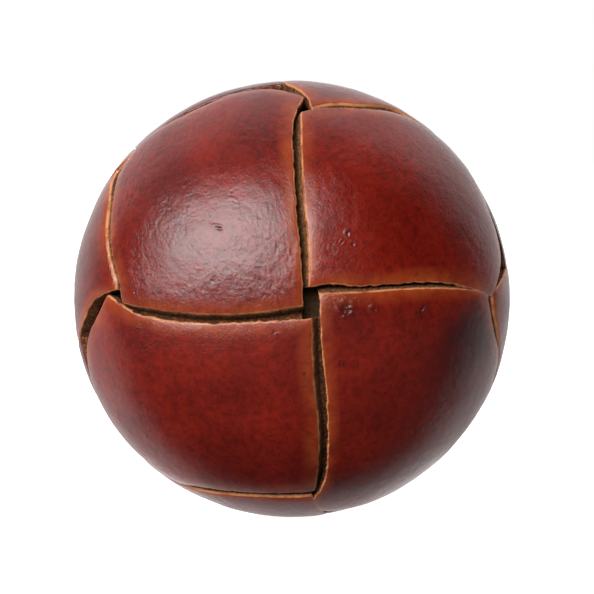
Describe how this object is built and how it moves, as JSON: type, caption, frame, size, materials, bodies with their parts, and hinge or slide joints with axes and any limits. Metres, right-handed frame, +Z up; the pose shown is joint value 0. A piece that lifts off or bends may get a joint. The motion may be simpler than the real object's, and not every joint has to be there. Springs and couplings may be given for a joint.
{
  "type": "woven leather button",
  "caption": "Domed coat button of woven leather strips moulded over a pressed core, with a folded leather shank loop on its back.",
  "frame": {"origin": "middle of the eye of the leather shank behind the button", "axes": "front of the button faces -Y, +Z is up as the button is worn, +X runs along the eye and to the right seen from the front"},
  "size_m": [0.025, 0.0157, 0.025],
  "materials": {
    "leather": "red-brown aniline leather, waxed and polished, tan at its cut edges",
    "back_leather": "brown leather, less polished",
    "core_board": "pressed brown leatherboard"
  },
  "bodies": {
    "root": {"strip_left": "leather", "strip_right": "leather", "strip_upper": "leather", "strip_lower": "leather", "girdle_strip": "leather", "back_disc": "back_leather", "shank_loop": "back_leather", "core_dome": "core_board", "core_disc": "core_board"}
  },
  "joints": []
}
